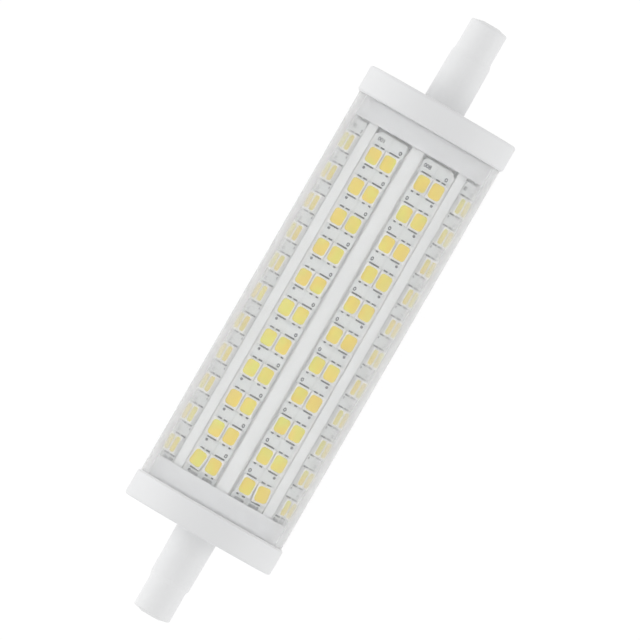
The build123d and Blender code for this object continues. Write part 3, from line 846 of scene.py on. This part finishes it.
def filler_bead(middle_y, top):
    """A long uneven bar of filler that reaches up to this height, measured from the board's face."""
    size = (BEAD_SPAN[1] - BEAD_SPAN[0], SLOT_WIDTH - BEAD_ROOM, top - BEAD_LOW)
    bead = start_cube(size, (sum(BEAD_SPAN) / 2, middle_y, (top + BEAD_LOW) / 2))
    choose("EDGE", lambda edge: abs(edge.verts[0].co.x - edge.verts[1].co.x) > MM)
    bpy.ops.mesh.subdivide(number_cuts=BEAD_CUTS)
    bpy.ops.object.mode_set(mode="OBJECT")
    make_uneven(bead, "unevenness", WAVE_SIZE, WAVE_HEIGHT)
    return bead


slot_middle = (BOARD_WIDTH + SLOT_WIDTH) / 2
filler = {}
for side in (1, -1):
    beads = [filler_bead(side * edge * slot_middle, top) for edge, top in BEAD_TOPS.items()]
    filler[side] = join_smooth(beads, "filler_pattern")
print("faces in the filler of one board:", len(filler[1].data.polygons))

# %% [markdown]
# Not every LED sits straight after it is soldered. On the two front boards the outer LED of the last row is
# turned a little, its lower end outwards, until it reaches over the board's edge. A copy of the strip is opened
# in edit mode, and the faces of that one LED are turned about its middle and moved outwards.

# %% Turn the last outer LED of a strip
LAST_ROW = FIRST_ROW - (ROW_COUNT - 1) * ROW_PITCH
LOOSE_TURN = math.radians(7)
LOOSE_SHIFT = 0.16 * MM


def in_last_led(face, side):
    """True for a face of the LED that ends the column on this side of the strip, 1 or -1."""
    middle = face.calc_center_median()
    return middle.x < LAST_ROW + ROW_PITCH / 2 and side * middle.y > 0


def loosened(pattern, side):
    """Copy a strip, turn its last LED on this side, and return the copy."""
    strip = bpy.data.objects.new(f"{pattern.name}_loose", pattern.data.copy())
    bpy.context.scene.collection.objects.link(strip)
    bpy.ops.object.select_all(action="DESELECT")
    strip.select_set(True)
    bpy.context.view_layer.objects.active = strip
    bpy.ops.object.mode_set(mode="EDIT")
    choose("FACE", lambda face: in_last_led(face, side))
    middle = (LAST_ROW, side * COLUMN_PITCH / 2, 0)
    bpy.ops.transform.rotate(value=side * LOOSE_TURN, orient_axis="Z", center_override=middle)
    bpy.ops.transform.translate(value=(0, side * LOOSE_SHIFT, 0))
    bpy.ops.object.mode_set(mode="OBJECT")
    return strip


strips = {number: (case, fill) for number in range(1, BOARD_COUNT + 1)}
for number, side in ((1, 1), (BOARD_COUNT, -1)):
    strips[number] = (loosened(case, side), loosened(fill, side))
ends = [vertex.co for vertex in strips[1][0].data.vertices if vertex.co.x < LAST_ROW - LED_LENGTH * 0.49]
print("furthest out at the strip's end, in mm:", round(max(end.y for end in ends) / MM, 2))

# %% [markdown]
# The strips are ready, and `board_matrix` says where they go. It turns a strip about the lamp's axis and moves
# it out to the face of its board.

# %% The place of a board
def board_matrix(number):
    """The place of a board's outer face: its middle line lies along X and its outside is local +Z."""
    turn = (number - 0.5) * TURN_STEP
    return Matrix.Rotation(-turn, 4, "X") @ Matrix.Translation((0, 0, BOARD_FACE))


print("middle of board 1 in mm:", [round(v / MM, 2) for v in board_matrix(1).translation])

# %% Copy to the eight boards
def add_copy(pattern, name, matrix, finish):
    """Copy a pattern with its own mesh, put its place into the mesh, and let it ride on the lamp."""
    piece = bpy.data.objects.new(name, pattern.data.copy())
    bpy.context.scene.collection.objects.link(piece)
    piece.data.transform(matrix)
    piece.data.materials.clear()
    piece.data.materials.append(finishes[finish])
    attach(piece, "root")
    return piece


for number in range(1, BOARD_COUNT + 1):
    place = board_matrix(number)
    cases, fills = strips[number]
    packages = add_copy(cases, f"led_packages_{number}", place, "case_white")
    fillings = add_copy(fills, f"led_fillings_{number}", place, "phosphor_yellow")
    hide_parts(f"led_cases_{number}")
    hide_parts(f"phosphor_{number}")
    side = 1 if number % 2 else -1
    add_copy(solder[side], f"led_solder_{number}", place, "solder_grey")
    add_copy(end_pads, f"end_pads_{number}", place, "pad_tin")
    add_copy(filler[side], f"board_filler_{number}", place, "filler_white")
for pattern in (case, fill, *strips[1], *strips[BOARD_COUNT], *solder.values(), end_pads, *filler.values()):
    bpy.data.objects.remove(pattern)
low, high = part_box("led_cases_1")
print("LED tops in mm, from the CAD:", round(high.z / MM, 3))

# %% [markdown]
# ## Numbers on the boards
# Each board has its own number printed near end a. They are plain place numbers from 1 to 8, set with three
# digits. A text object gives the outlines, a very thin extrusion gives the ink its body, and it is turned into
# a mesh before it is put in place. Read with end a up, a number runs towards minus Y on the front boards.

# %% Board numbers
NUMBER_HEIGHT = 1.01 * MM
NUMBER_PLACE = (31.91 * MM, 2.69 * MM)
INK_THICKNESS = 0.01 * MM
INK_SPREAD = 0.03 * MM
finishes["ink"] = mottled("ink_finish", (0.15, 0.155, 0.165), (0.11, 0.115, 0.12), 0.6, 0.1, 900.0, 9000.0)[0]
upright_text = Matrix.Translation((*NUMBER_PLACE, INK_THICKNESS)) @ Matrix.Rotation(-math.pi / 2, 4, "Z")
for number in range(1, BOARD_COUNT + 1):
    bpy.ops.object.select_all(action="DESELECT")
    bpy.ops.object.text_add()
    text = bpy.context.object
    text.data.body = f"{number:03d}"
    text.data.size = NUMBER_HEIGHT
    text.data.extrude = INK_THICKNESS
    text.data.offset = INK_SPREAD
    text.data.resolution_u = 3
    bpy.ops.object.convert(target="MESH")
    text.name = f"board_number_{number}"
    text.data.transform(board_matrix(number) @ upright_text)
    text.data.materials.append(finishes["ink"])
    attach(text, "root")
print("numbers:", BOARD_COUNT)
